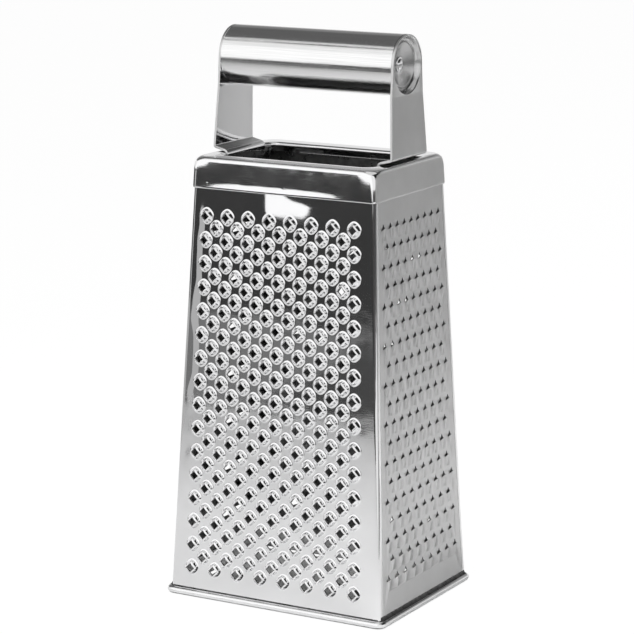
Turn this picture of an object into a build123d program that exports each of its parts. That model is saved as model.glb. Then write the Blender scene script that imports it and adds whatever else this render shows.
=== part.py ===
from build123d import *
import os
from math import atan, cos, hypot, pi, sin, tan

os.makedirs("parts", exist_ok=True)

# Four-sided steel box grater, standing on its rim. Millimetres, +Z up, with the origin in
# the middle of the rim's underside and the fine grating panel facing -Y.

# Body: four sheets that lean in towards the top
base_width = 102.45
base_depth = 78.85
top_width = 85.6
top_depth = 61.05
body_height = 184.0
sheet = 0.5
corner_radius = 1.5
return_width = 2.6
seam_gap = 0.1
overrun = 1.0

# Wired rim round the foot
bead_diameter = 3.2
foot_flat = 0.1
rim_sheet = 0.5
wire_clearance = 0.05
wire_sides = 12
rim_band_top = 10.0
rim_clearance = 0.02
ledge_gap = 0.1

# Fine grating crowns of the front panel
crown_rows = 31
crowns_in_wide_row = 8
crown_first_height = 12.6
crown_row_pitch = 5.066
crown_pitch_low = 11.28
crown_pitch_high = 10.05
crown_shift = -1.1
crown_span = 7.4
crown_hole_span = 5.2
crown_height = 2.0

# Medium shredding teeth of the right panel
tooth_rows = 19
teeth_in_wide_row = 9
tooth_first_height = 18.0
tooth_row_pitch = 8.12
tooth_pitch_low = 7.6
tooth_pitch_high = 6.1
tooth_width = 3.8
tooth_ramp = 4.6
tooth_height = 1.3
tooth_mouth_height = 3.0

# Coarse shredding teeth of the back panel
coarse_rows = 8
coarse_in_wide_row = 5
coarse_first_height = 20.0
coarse_row_pitch = 20.0
coarse_pitch_low = 17.0
coarse_pitch_high = 14.6
coarse_width = 8.4
coarse_ramp = 7.5
coarse_height = 2.6
coarse_mouth_height = 5.6

# Slicing slots of the left panel
slot_rows = 7
slot_first_height = 22.0
slot_row_pitch = 21.5
slot_width_low = 46.0
slot_width_high = 38.0
slot_mouth_height = 3.6
slot_ramp = 7.5
slot_height = 1.8

# Collar folded over the top of the body
collar_sheet = 0.7
collar_clearance = 0.02
collar_low = 175.9
collar_top = 189.0
collar_shoulder = 4.2
shoulder_steps = 3
opening_width = 73.0
opening_depth = 44.0
opening_radius = 5.0
lip_depth = 2.0
lip_bend = 0.4
notch_clearance = 0.2
notch_reach = 40.8

# Brackets that carry the grip
strap_sheet = 1.0
strap_foot_half_width = 15.3
strap_top_half_width = 12.65
strap_shoulder_height = 191.5
strap_face = 41.6
strap_bend_height = 215.5
strap_foot_face = 42.85
strap_foot_height = 190.8
strap_neck_face = 36.6
strap_neck_height = 189.3
strap_neck_low = 184.5
strap_tab_top = 178.0
strap_tab_low = 166.5
strap_bend_radius = 1.5
strap_clearance = 0.02

# Dish pressed into each bracket, which the end of the grip fits over
dish_sheet = 0.9
dish_mouth_radius = 12.2
dish_lip_radius = 11.4
dish_groove_radius = 10.2
dish_groove_depth = 2.6
dish_ridge_radius = 9.2
dish_ridge_depth = 2.1
dish_floor_radius = 3.8
dish_floor_depth = 3.9

# Grip tube, and the rod that is riveted over at each end
tube_height = 228.9
tube_diameter = 25.4
tube_wall = 0.7
tube_clearance = 0.05
rod_diameter = 4.0
rod_clearance = 0.1
rivet_diameter = 6.4
rivet_height = 1.1
rivet_shoulder_diameter = 4.6
rivet_shoulder_height = 0.8
rivet_top_diameter = 2.4


def half_width(height):
    """Distance from the middle to the outer face of a narrow side."""
    return base_width / 2 - (base_width - top_width) / 2 * height / body_height


def half_depth(height):
    """Distance from the middle to the outer face of a wide side."""
    return base_depth / 2 - (base_depth - top_depth) / 2 * height / body_height


width_lean = atan((base_width - top_width) / 2 / body_height)
depth_lean = atan((base_depth - top_depth) / 2 / body_height)

# Outer face of each panel: local x runs across it, local y up it and local z out of it
front_face = Plane(
    origin=(0, -half_depth(0), 0), x_dir=(1, 0, 0), z_dir=(0, -cos(depth_lean), sin(depth_lean))
)
back_face = Plane(
    origin=(0, half_depth(0), 0), x_dir=(-1, 0, 0), z_dir=(0, cos(depth_lean), sin(depth_lean))
)
right_face = Plane(
    origin=(half_width(0), 0, 0), x_dir=(0, 1, 0), z_dir=(cos(width_lean), 0, sin(width_lean))
)
left_face = Plane(
    origin=(-half_width(0), 0, 0), x_dir=(0, -1, 0), z_dir=(-cos(width_lean), 0, sin(width_lean))
)

bead_radius = bead_diameter / 2
bead_middle = bead_radius - foot_flat
panel_low = bead_middle + bead_radius + ledge_gap
panel_top = collar_top - collar_shoulder - overrun


def leaning_block(low, high, inset, radius, mode=Mode.ADD):
    """Block between two heights that keeps the body's lean, set in from its outer faces."""
    low_x, low_y = half_width(low) - inset, half_depth(low) - inset
    high_x, high_y = half_width(high) - inset, half_depth(high) - inset
    with BuildPart(mode=Mode.PRIVATE) as block:
        with Locations((0, 0, low)):
            Wedge(
                2 * low_x, high - low, 2 * low_y,
                low_x - high_x, low_y - high_y, low_x + high_x, low_y + high_y,
                rotation=(90, 0, 0), align=(Align.CENTER, Align.MIN, Align.CENTER),
            )
        corners = [edge for edge in block.edges() if edge.bounding_box().size.Z > (high - low) / 2]
        fillet(corners, radius)
    add(block.part, mode=mode)


def leaning_shell(low, high, inset, thickness, radius):
    """Sheet between two heights, bent round the body's four corners."""
    leaning_block(low, high, inset, radius)
    leaning_block(low, high, inset + thickness, radius - thickness, mode=Mode.SUBTRACT)


def lattice(rows, wide_row, first_height, row_pitch, pitch_low, pitch_high, shift=0):
    """Places in staggered rows that draw together towards the top."""
    places = []
    for row in range(rows):
        count = wide_row - row % 2
        pitch = pitch_low + (pitch_high - pitch_low) * row / (rows - 1)
        for column in range(count):
            across = shift + (column - (count - 1) / 2) * pitch
            places.append((across, first_height + row * row_pitch))
    return places


def wrapped_panel(face):
    """Wide panel, folded round both corners with a short return along each narrow side."""
    leaning_shell(panel_low, panel_top, 0, sheet, corner_radius)
    split(bisect_by=face.offset(-return_width), keep=Keep.TOP)


def narrow_outline(margin, low, high, mode=Mode.ADD):
    """Outline on a narrow side's plane, this far in from its two corners."""
    low_x, high_x = half_depth(low) - margin, half_depth(high) - margin
    low_y, high_y = low / cos(width_lean), high / cos(width_lean)
    Polygon((-low_x, low_y), (low_x, low_y), (high_x, high_y), (-high_x, high_y), align=None, mode=mode)


def tucked_panel(face):
    """Narrow panel between the returns, with a joggled edge that lies behind each of them."""
    margin = return_width + seam_gap
    with BuildSketch(face) as middle:
        narrow_outline(margin, panel_low, panel_top)
    extrude(middle.sketch, amount=-sheet)
    with BuildSketch(face.offset(-sheet)) as laps:
        narrow_outline(corner_radius, rim_band_top + ledge_gap, panel_top)
        narrow_outline(margin + sheet, rim_band_top + ledge_gap, panel_top, mode=Mode.SUBTRACT)
    extrude(laps.sketch, amount=-sheet)


def press_teeth(face, places, width, ramp, height, mouth_height):
    """Raise hollow pointed teeth on a panel, each with a mouth above its lip."""
    with BuildPart(mode=Mode.PRIVATE) as tooth:
        with BuildSketch() as foot:
            Polygon((-width / 2, 0), (0, -ramp), (width / 2, 0), align=None)
        loft(sections=[foot.sketch, Vertex(0, 0, height)])
    with Locations(face):
        with Locations(*places):
            add(tooth.part)
    with Locations(face.offset(-sheet)):
        with Locations(*places):
            add(tooth.part, mode=Mode.SUBTRACT)
    with BuildSketch(face) as mouths:
        with Locations(*places):
            Polygon((-width / 2, 0), (width / 2, 0), (0, mouth_height), align=None)
    extrude(mouths.sketch, amount=-sheet - overrun, mode=Mode.SUBTRACT)


def press_slot(face, along, width):
    """Raise a hollow ramp across a panel, with a long mouth above its cutting lip."""
    for raised, half_span, mode in (
        (0, width / 2, Mode.ADD),
        (-sheet, width / 2 - sheet, Mode.SUBTRACT),
    ):
        with BuildPart(mode=Mode.PRIVATE) as ramp:
            with BuildSketch(Plane.YZ) as side:
                Polygon((0, 0), (-slot_ramp, 0), (0, slot_height), align=None)
            extrude(side.sketch, amount=half_span, both=True)
        with Locations(face.offset(raised)):
            with Locations((0, along)):
                add(ramp.part, mode=mode)
    with BuildSketch(face) as mouth:
        with Locations((0, along)):
            Rectangle(width, slot_mouth_height, align=(Align.CENTER, Align.MIN))
    extrude(mouth.sketch, amount=-sheet - overrun, mode=Mode.SUBTRACT)


# Crown: a square punched out on its corner, with the burr drawn up to a sharp rim
crown_side = crown_span / hypot(1, 1)
crown_hole_side = crown_hole_span / hypot(1, 1)
crown_peak = crown_height * crown_side / (crown_side - crown_hole_side)
with BuildPart() as crown:
    with BuildSketch() as crown_foot:
        Rectangle(crown_side, crown_side, rotation=45)
    loft(sections=[crown_foot.sketch, Vertex(0, 0, crown_peak)])
crown_places = lattice(
    crown_rows, crowns_in_wide_row, crown_first_height, crown_row_pitch,
    crown_pitch_low, crown_pitch_high, crown_shift,
)

with BuildPart() as front_panel:
    wrapped_panel(front_face)
    with Locations(front_face):
        with Locations(*crown_places):
            add(crown.part)
    with BuildSketch(front_face) as crown_holes:
        with Locations(*crown_places):
            Rectangle(crown_hole_side, crown_hole_side, rotation=45)
    extrude(crown_holes.sketch, amount=crown_peak, both=True, mode=Mode.SUBTRACT)
front_panel.part.label = "front_panel"
export_step(front_panel.part, "parts/front_panel.step")

with BuildPart() as back_panel:
    wrapped_panel(back_face)
    press_teeth(
        back_face,
        lattice(
            coarse_rows, coarse_in_wide_row, coarse_first_height, coarse_row_pitch,
            coarse_pitch_low, coarse_pitch_high,
        ),
        coarse_width, coarse_ramp, coarse_height, coarse_mouth_height,
    )
back_panel.part.label = "back_panel"
export_step(back_panel.part, "parts/back_panel.step")

with BuildPart() as right_panel:
    tucked_panel(right_face)
    press_teeth(
        right_face,
        lattice(
            tooth_rows, teeth_in_wide_row, tooth_first_height, tooth_row_pitch,
            tooth_pitch_low, tooth_pitch_high,
        ),
        tooth_width, tooth_ramp, tooth_height, tooth_mouth_height,
    )
right_panel.part.label = "right_panel"
export_step(right_panel.part, "parts/right_panel.step")

with BuildPart() as left_panel:
    tucked_panel(left_face)
    for row in range(slot_rows):
        narrowing = (slot_width_low - slot_width_high) * row / (slot_rows - 1)
        press_slot(left_face, slot_first_height + row * slot_row_pitch, slot_width_low - narrowing)
left_panel.part.label = "left_panel"
export_step(left_panel.part, "parts/left_panel.step")

# Rim: a band inside the foot of the panels, whose lower edge is rolled round a wire
band_inset = sheet + rim_clearance
bead_reach = bead_radius - band_inset - rim_sheet
bead_corner = corner_radius + bead_reach
bead_x = half_width(bead_middle) + bead_reach
bead_y = half_depth(bead_middle) + bead_reach
with BuildLine(Plane.XY.offset(bead_middle)) as bead_path:
    Polyline(
        (0, -bead_y), (bead_x - bead_corner, -bead_y), (bead_x, bead_corner - bead_y),
        (bead_x, bead_y - bead_corner), (bead_x - bead_corner, bead_y),
        (bead_corner - bead_x, bead_y), (-bead_x, bead_y - bead_corner),
        (-bead_x, bead_corner - bead_y), (bead_corner - bead_x, -bead_y),
        close=True,
    )
bead_section = Plane(origin=(0, -bead_y, bead_middle), x_dir=(0, 1, 0), z_dir=(1, 0, 0))

with BuildPart() as base_rim:
    band_height = rim_band_top - bead_middle
    band_lean = band_height * tan((width_lean + depth_lean) / 2)
    band_face = bead_radius - rim_sheet
    with BuildSketch(bead_section) as rolled_band:
        Circle(bead_radius)
        Polygon(
            (band_face, 0), (bead_radius, 0),
            (bead_radius + band_lean, band_height), (band_face + band_lean, band_height),
            align=None,
        )
        RegularPolygon(
            bead_radius - rim_sheet, wire_sides, major_radius=False, mode=Mode.SUBTRACT
        )
        with Locations((0, -bead_middle)):
            Rectangle(
                bead_diameter, overrun, align=(Align.CENTER, Align.MAX), mode=Mode.SUBTRACT
            )
    sweep(sections=rolled_band.sketch, path=bead_path.line, transition=Transition.RIGHT)
base_rim.part.label = "base_rim"
export_step(base_rim.part, "parts/base_rim.step")

with BuildPart() as rim_wire:
    with BuildSketch(bead_section) as wire:
        RegularPolygon(bead_radius - rim_sheet - wire_clearance, wire_sides, major_radius=False)
    sweep(sections=wire.sketch, path=bead_path.line, transition=Transition.RIGHT)
rim_wire.part.label = "rim_wire"
export_step(rim_wire.part, "parts/rim_wire.step")


def domed_cap(inset, top, radius, shoulder, mode=Mode.ADD):
    """Block that follows the body's lean and rounds over at its upper edge."""
    levels = [(collar_low, inset)]
    for step in range(shoulder_steps + 1):
        angle = pi / 2 * step / shoulder_steps
        levels.append((top - shoulder * (1 - sin(angle)), inset + shoulder * (1 - cos(angle))))
    sections = []
    for height, drawn_in in levels:
        with BuildSketch(Plane.XY.offset(height)) as level:
            RectangleRounded(
                2 * (half_width(height) - drawn_in), 2 * (half_depth(height) - drawn_in), radius
            )
        sections.append(level.sketch)
    loft(sections=sections, ruled=True, mode=mode)


with BuildPart() as top_collar:
    domed_cap(
        -collar_clearance - collar_sheet, collar_top, corner_radius + collar_sheet, collar_shoulder
    )
    domed_cap(
        -collar_clearance, collar_top - collar_sheet, corner_radius,
        collar_shoulder - collar_sheet, mode=Mode.SUBTRACT,
    )
    with BuildSketch(Plane.XY.offset(collar_top)) as lip:
        RectangleRounded(
            opening_width + 2 * collar_sheet, opening_depth + 2 * collar_sheet,
            opening_radius + collar_sheet,
        )
    extrude(lip.sketch, amount=-lip_depth)
    with BuildSketch(Plane.XY.offset(collar_top)) as opening:
        RectangleRounded(opening_width, opening_depth, opening_radius)
    extrude(opening.sketch, amount=collar_low - collar_top, mode=Mode.SUBTRACT)
    mouth_edges = top_collar.faces().sort_by(Axis.Z)[-1].inner_wires().edges()
    chamfer(mouth_edges, lip_bend)
    with BuildSketch(Plane.XY.offset(collar_top)) as notch:
        Rectangle(2 * notch_reach, 2 * (strap_foot_half_width + notch_clearance))
    extrude(notch.sketch, amount=collar_low - collar_top, mode=Mode.SUBTRACT)
top_collar.part.label = "top_collar"
export_step(top_collar.part, "parts/top_collar.step")

# Bracket: a strap bent in over the collar and down behind the narrow panel's inner face
strap_top = tube_height + strap_top_half_width
grip_axis = Axis((0, 0, tube_height), (1, 0, 0))


def beside_wall(height):
    """Distance from the middle to where a strap lies against a narrow panel."""
    return half_width(height) - sheet - strap_clearance


with BuildPart() as right_bracket:
    with BuildSketch(Plane.XZ) as strap:
        with BuildLine():
            FilletPolyline(
                (strap_face, strap_top), (strap_face, strap_bend_height),
                (strap_foot_face, strap_foot_height), (strap_neck_face, strap_neck_height),
                (strap_neck_face, strap_neck_low), (beside_wall(strap_tab_top), strap_tab_top),
                (beside_wall(strap_tab_low), strap_tab_low),
                radius=strap_bend_radius,
            )
            offset(amount=strap_sheet, side=Side.RIGHT)
        make_face()
    extrude(strap.sketch, amount=strap_foot_half_width, both=True)
    with BuildSketch(Plane.YZ) as outline:
        with Locations((0, tube_height)):
            Circle(strap_top_half_width)
        with Locations((0, strap_tab_low)):
            Rectangle(
                2 * strap_foot_half_width, strap_shoulder_height - strap_tab_low,
                align=(Align.CENTER, Align.MIN),
            )
        make_hull()
    extrude(outline.sketch, amount=half_width(0), mode=Mode.INTERSECT)
    with BuildSketch(Plane.YZ) as mouth:
        with Locations((0, tube_height)):
            Circle(dish_mouth_radius)
    extrude(mouth.sketch, amount=half_width(0), mode=Mode.SUBTRACT)
    with BuildSketch(Plane.XZ) as dish:
        with BuildLine():
            rod_hole_radius = rod_diameter / 2 + rod_clearance
            Polyline(
                (strap_face, tube_height + dish_mouth_radius),
                (strap_face, tube_height + dish_lip_radius),
                (strap_face - dish_groove_depth, tube_height + dish_groove_radius),
                (strap_face - dish_ridge_depth, tube_height + dish_ridge_radius),
                (strap_face - dish_floor_depth, tube_height + dish_floor_radius),
                (strap_face - dish_floor_depth, tube_height + rod_hole_radius),
            )
            offset(amount=dish_sheet, kind=Kind.INTERSECTION, side=Side.RIGHT)
        make_face()
    revolve(dish.sketch, axis=grip_axis)
right_bracket.part.label = "right_bracket"
export_step(right_bracket.part, "parts/right_bracket.step")

with BuildPart() as left_bracket:
    add(right_bracket.part)
    mirror(about=Plane.YZ, mode=Mode.REPLACE)
left_bracket.part.label = "left_bracket"
export_step(left_bracket.part, "parts/left_bracket.step")

# Grip: a tube held between the brackets by a rod whose ends are riveted over in the dishes
tube_half_length = strap_face - strap_sheet - tube_clearance
rivet_seat = strap_face - dish_floor_depth
with BuildPart() as grip_tube:
    with BuildSketch(Plane.YZ.offset(-tube_half_length)) as ring:
        with Locations((0, tube_height)):
            Circle(tube_diameter / 2)
            Circle(tube_diameter / 2 - tube_wall, mode=Mode.SUBTRACT)
    extrude(ring.sketch, amount=2 * tube_half_length)
grip_tube.part.label = "grip_tube"
export_step(grip_tube.part, "parts/grip_tube.step")

with BuildPart() as tie_rod:
    with BuildSketch(Plane.XZ) as profile:
        with BuildLine():
            half_profile = [
                (rivet_seat, rod_diameter / 2), (rivet_seat, rivet_diameter / 2),
                (rivet_seat + rivet_shoulder_height, rivet_shoulder_diameter / 2),
                (rivet_seat + rivet_height, rivet_top_diameter / 2), (rivet_seat + rivet_height, 0),
            ]
            Polyline(
                *[(x, tube_height + radius) for x, radius in half_profile],
                *[(-x, tube_height + radius) for x, radius in reversed(half_profile)],
                close=True,
            )
        make_face()
    revolve(profile.sketch, axis=grip_axis)
tie_rod.part.label = "tie_rod"
export_step(tie_rod.part, "parts/tie_rod.step")
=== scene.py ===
import bpy
from math import asin, atan, cos, hypot, pi, radians, sin, sqrt, tan
from mathutils import Matrix, Vector
from mathutils.geometry import delaunay_2d_cdt


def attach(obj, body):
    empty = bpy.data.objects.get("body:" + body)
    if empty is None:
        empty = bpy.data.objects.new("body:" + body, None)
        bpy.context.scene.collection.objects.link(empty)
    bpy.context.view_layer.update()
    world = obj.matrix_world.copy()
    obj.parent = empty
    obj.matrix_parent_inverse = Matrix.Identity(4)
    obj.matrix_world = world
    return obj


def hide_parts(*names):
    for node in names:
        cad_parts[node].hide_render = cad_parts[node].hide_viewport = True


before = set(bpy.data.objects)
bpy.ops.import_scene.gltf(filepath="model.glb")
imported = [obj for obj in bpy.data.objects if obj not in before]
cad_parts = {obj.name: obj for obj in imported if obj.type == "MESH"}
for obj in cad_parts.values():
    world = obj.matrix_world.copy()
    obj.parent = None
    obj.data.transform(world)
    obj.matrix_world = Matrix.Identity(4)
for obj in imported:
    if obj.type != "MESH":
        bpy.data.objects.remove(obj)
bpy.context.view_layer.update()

# Millimetres are used below, and every mesh is scaled to metres when it is made
MM = 0.001
scene = bpy.context.scene
scene.view_settings.view_transform = "Standard"

# Body
BASE_WIDTH = 102.45
BASE_DEPTH = 78.85
TOP_WIDTH = 85.6
TOP_DEPTH = 61.05
BODY_HEIGHT = 184.0
SHEET = 0.5
CORNER_RADIUS = 1.5
FOLD_STEPS = 8
RETURN_WIDTH = 2.6
SEAM_GAP = 0.1
SEAM_BREAK = 0.12
LAP_GAP = 0.02
PANEL_LOW = 3.2
PANEL_TOP = 183.8
FEATURE_GUARD = 0.3

# Fine grating crowns
CROWN_ROWS = 31
CROWN_WIDE_ROW = 8
CROWN_FIRST_HEIGHT = 12.6
CROWN_ROW_PITCH = 5.066
CROWN_PITCH_LOW = 11.28
CROWN_PITCH_HIGH = 10.05
CROWN_SHIFT = -1.1
CROWN_SIDE_REACH = 3.66
CROWN_CORNER_EXTRA = 0.34
CROWN_COLUMN_GAP = 0.16
CROWN_CLEARANCE = 0.02
CROWN_SEGMENTS = 24
CROWN_PER_SIDE = CROWN_SEGMENTS // 4
CROWN_HEIGHT = 1.82
RIM_APOTHEM = 1.42
PETAL_DROOP = 0.12
# Dome rings as (inset, height), and the step's rings as (apothem, side height, corner height, roundness)
DOME_STEPS = ((0.08, 0.0), (0.22, 0.008), (0.34, 0.035), (0.44, 0.075))
STEP_FOOT = (2.60, 0.30, 0.22, 0.6)
STEP_HEAD = (2.00, 1.38, 1.05, 0.1)
ROUND_SWELL = 1.15
# Petal rows as (share of the rise, share of the width)
PETAL_ROWS = ((0.06, 0.96), (0.36, 0.90), (0.70, 0.80), (1.0, 0.68))

# Pressed teeth and slots
TOOTH_TAPER = 0.75
TOOTH_LIP_DROP = 0.02
TOOTH_SHOULDER = (1.04, 0.10)
TOOTH_MOUTH_MIDDLE = (0.42, 0.55)
TOOTH_SWELL = 0.8
TOOTH_RISE = 1.15
TOOTH_PULL = 0.22
SLOT_COUNT = 7
SLOT_FIRST_HEIGHT = 22.0
SLOT_PITCH = 21.5
SLOT_WIDTH_LOW = 46.0
SLOT_WIDTH_HIGH = 38.0
SLOT_RISE = 1.3
SLOT_END = 0.09
SLOT_CORNER = 0.4

# Rim
BEAD_RADIUS = 1.6
BEAD_MIDDLE = 1.5
BEAD_REACH = 0.58
BEAD_CORNER = 2.6
BEAD_STEPS = 16
BEAD_UNDER_STEPS = 6
BAND_TOP = 10.0
BAND_SHEET = 0.5
NARROW_FOLD = (4.5, 0.50)
WIDE_FOLD = (3.55, -0.10)
FOLD_PROUD = 0.04
FOLD_SINK = 0.02
FOLD_KNEE = (0.30, 0.55)
FOLD_TOE = (0.3, 1.3)
FOLD_TUCK = 0.2
FOLD_END = 1.0

# Collar
COLLAR_SHEET = 0.7
COLLAR_CLEARANCE = 0.02
COLLAR_LOW = 175.9
COLLAR_TOP = 189.0
COLLAR_CORNER_STEPS = 10
COLLAR_SIDE_PARTS = 16
# Rounded lower edge as (rise, draw), then plain heights of the skirt
HEM_STEPS = ((0.0, 0.18), (0.10, 0.06), (0.28, 0.0))
SKIRT_HEIGHTS = (176.8, 177.4, 178.0, 178.5, 179.2, 181.0, 182.5, 183.5, 184.3, 185.0, 185.6)
SHOULDER_APPROACH = (0.9, 0.12)
SHOULDER_WIDE = 2.2
SHOULDER_TIGHT = 1.3
SHOULDER_TURN = radians(31)
WIDE_STEPS = 6
TIGHT_STEPS = 7
CORNER_START = 179.5
CORNER_TOP_RADIUS = 6.0
CORNER_GROWTH = 4.6
FLARE = 0.16
FLARE_TOP = 178.9
FLARE_CURVE = 1.5
FLARE_SHIFT = 5
FLARE_HALF_LENGTH = 37
OPENING_WIDTH = 73.0
OPENING_DEPTH = 44.0
OPENING_RADIUS = 5.0
LIP_DEPTH = 2.0
LIP_ROLL = 0.9
LIP_START = 0.5
# Rolled lip as shares of the roll: (outward, drop)
LIP_STEPS = ((1.0, 0.0), (0.62, 0.07), (0.29, 0.29), (0.07, 0.62), (0.0, 1.0))
NOTCH_HALF = 15.5
NOTCH_REACH = 40.8
NOTCH_INNER = 30.0
NOTCH_LOW = 186
NOTCH_HIGH = 195
SIDE_FACING = 0.80
SHOULDER_ROUNDING = 1.2

# Brackets and grip
STRAP_THICK = 0.95
STRAP_FACE = 41.6
STRAP_BEND = 216.6
STRAP_FOOT_FACE = 42.85
STRAP_FOOT = 190.8
STRAP_FOOT_HALF = 15.3
STRAP_TOP_RADIUS = 12.65
STRAP_SHOULDER = 191.5
STRAP_EDGE = 0.32
NECK_FACE = 36.6
NECK_TOP = 189.3
NECK_LOW = 184.5
TAB_TOP = 178.0
TAB_LOW = 166.5
BEND_SHARP = 1.4
BEND_GENTLE = 4.0
BEND_GENTLE_FROM = 2.6
BEND_REACH = 1.6
BEND_STEPS = 6
GRIP_HEIGHT = 228.9
TUBE_RADIUS = 12.695
TUBE_WALL = 0.7
TUBE_HALF = 40.55
TUBE_BREAK = 0.15
ROD_RADIUS = 2.0
ROUND_STEPS = 64
ROD_STEPS = 48
MOUTH_RADIUS = 12.2
DISH_FLOOR_DEPTH = 3.9
DISH_EDGE = 0.02
INSIDE_FACING = -0.3
# Pressed dish from its mouth to the rivet's seat, as (radius, height over the strap's face)
DISH_PROFILE = (
    (MOUTH_RADIUS, 0.0), (12.05, -0.06), (11.85, -0.25), (11.6, -0.7), (11.3, -1.5), (11.0, -2.1),
    (10.6, -2.5), (10.1, -2.66), (9.7, -2.55), (9.4, -2.3), (9.2, -2.15), (9.0, -2.2),
    (8.6, -2.42), (6.5, -3.1), (4.3, -3.75), (3.8, -DISH_FLOOR_DEPTH), (2.1, -DISH_FLOOR_DEPTH),
)
# Rivet head from the dish's floor outward, as (height over the floor, radius)
RIVET_PROFILE = (
    (0.0, ROD_RADIUS), (0.02, 3.2), (0.25, 3.2), (0.36, 3.0), (0.30, 2.62), (0.36, 2.4),
    (0.62, 2.2), (0.85, 1.75), (1.0, 1.15), (1.08, 0.5), (1.1, 0.02),
)

# Relief of the polished sheets, in metres as the nodes see it
CURL_START = 0.0030
CURL_END = 0.0068
CURL_DEPTH = 0.00026
CURL_WANDER = 0.0014
CURL_FADE = (0.155, 0.180)
HOLLOW_LEFT = (-0.0105, -0.0060)
HOLLOW_RIGHT = (0.0090, 0.0190)
HOLLOW_RISE = (0.1622, 0.1790)
HOLLOW_DEPTH = 0.0005
# Swellings and dents as (middle, radii, height)
FRONT_SWELLING = ((0.012, -0.031, 0.1815), (0.016, 0.05, 0.0095), 0.00028)
WELD_MARKS = (
    ((0.001, -0.0315, 0.1785), (0.0012, 0.01, 0.0010), -0.00012),
    ((-0.036, -0.0315, 0.1788), (0.0007, 0.01, 0.0005), -0.000008),
    ((-0.035, -0.0315, 0.1802), (0.0005, 0.01, 0.0005), -0.000003),
)
EVEN = (1, 1, 1)


def half_width(height):
    """Distance from the middle to a narrow side's outer face."""
    return BASE_WIDTH / 2 - (BASE_WIDTH - TOP_WIDTH) / 2 * height / BODY_HEIGHT


def half_depth(height):
    """Distance from the middle to a wide side's outer face."""
    return BASE_DEPTH / 2 - (BASE_DEPTH - TOP_DEPTH) / 2 * height / BODY_HEIGHT


WIDTH_LEAN = atan((BASE_WIDTH - TOP_WIDTH) / 2 / BODY_HEIGHT)
DEPTH_LEAN = atan((BASE_DEPTH - TOP_DEPTH) / 2 / BODY_HEIGHT)
BEAD_X = half_width(BEAD_MIDDLE) + BEAD_REACH
BEAD_Y = half_depth(BEAD_MIDDLE) + BEAD_REACH


def plane_map(origin, across, up, out):
    """Function from a panel's own (across, up, out) to the row frame."""
    origin, across, up, out = Vector(origin), Vector(across), Vector(up), Vector(out)
    return lambda a, s, n=0.0: origin + across * a + up * s + out * n


FRONT = plane_map(
    (0, -half_depth(0), 0), (1, 0, 0), (0, sin(DEPTH_LEAN), cos(DEPTH_LEAN)),
    (0, -cos(DEPTH_LEAN), sin(DEPTH_LEAN)),
)
BACK = plane_map(
    (0, half_depth(0), 0), (-1, 0, 0), (0, -sin(DEPTH_LEAN), cos(DEPTH_LEAN)),
    (0, cos(DEPTH_LEAN), sin(DEPTH_LEAN)),
)
RIGHT = plane_map(
    (half_width(0), 0, 0), (0, 1, 0), (-sin(WIDTH_LEAN), 0, cos(WIDTH_LEAN)),
    (cos(WIDTH_LEAN), 0, sin(WIDTH_LEAN)),
)
LEFT = plane_map(
    (-half_width(0), 0, 0), (0, -1, 0), (sin(WIDTH_LEAN), 0, cos(WIDTH_LEAN)),
    (-cos(WIDTH_LEAN), 0, sin(WIDTH_LEAN)),
)


# Materials
def bare_material(name):
    """Node material that holds only its output."""
    material = bpy.data.materials.new(name)
    material.use_nodes = True
    tree = material.node_tree
    tree.nodes.clear()
    return material, tree, tree.nodes.new("ShaderNodeOutputMaterial")


def metal(name):
    """Metal material with its tree and shader."""
    material, tree, output = bare_material(name)
    shader = tree.nodes.new("ShaderNodeBsdfPrincipled")
    shader.inputs["Metallic"].default_value = 1.0
    tree.links.new(shader.outputs["BSDF"], output.inputs["Surface"])
    return material, tree, shader


def placed(tree):
    """The object's own coordinates, in metres."""
    return tree.nodes.new("ShaderNodeTexCoord").outputs["Object"]


def parted(tree):
    """The object's own coordinates, one by one."""
    parts = tree.nodes.new("ShaderNodeSeparateXYZ")
    tree.links.new(placed(tree), parts.inputs[0])
    return parts.outputs


def stretched_noise(tree, stretch, scale, detail):
    """Noise over the object's own coordinates, drawn out by a stretch on each axis."""
    mapping = tree.nodes.new("ShaderNodeMapping")
    mapping.inputs["Scale"].default_value = stretch
    noise = tree.nodes.new("ShaderNodeTexNoise")
    noise.inputs["Scale"].default_value = scale
    noise.inputs["Detail"].default_value = detail
    tree.links.new(placed(tree), mapping.inputs["Vector"])
    tree.links.new(mapping.outputs["Vector"], noise.inputs["Vector"])
    return noise.outputs["Fac"]


def drawn_out(tree, value, start, end, low, high, kind="LINEAR"):
    """The value's start to end drawn out to a range."""
    ranged = tree.nodes.new("ShaderNodeMapRange")
    ranged.interpolation_type = kind
    ranged.inputs["From Min"].default_value = start
    ranged.inputs["From Max"].default_value = end
    ranged.inputs["To Min"].default_value = low
    ranged.inputs["To Max"].default_value = high
    tree.links.new(value, ranged.inputs["Value"])
    return ranged.outputs["Result"]


def spread(tree, noise, low, high):
    """The middle half of a noise drawn out to a range."""
    return drawn_out(tree, noise, 0.25, 0.75, low, high)


def smooth_step(tree, value, start, end, low, high):
    """The value's start to end drawn out smoothly to a range."""
    return drawn_out(tree, value, start, end, low, high, "SMOOTHSTEP")


def bump(tree, value, distance, strength, before=None):
    """Bump node over a height value, after another bump."""
    node = tree.nodes.new("ShaderNodeBump")
    node.inputs["Strength"].default_value = strength
    node.inputs["Distance"].default_value = distance
    tree.links.new(value, node.inputs["Height"])
    if before is not None:
        tree.links.new(before, node.inputs["Normal"])
    return node.outputs["Normal"]


def tinted(tree, value, dark, light):
    """Colour between two others by a value."""
    ramp = tree.nodes.new("ShaderNodeValToRGB")
    ramp.color_ramp.elements[0].position = 0.3
    ramp.color_ramp.elements[0].color = (*dark, 1)
    ramp.color_ramp.elements[1].position = 0.7
    ramp.color_ramp.elements[1].color = (*light, 1)
    tree.links.new(value, ramp.inputs["Fac"])
    return ramp.outputs["Color"]


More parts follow.
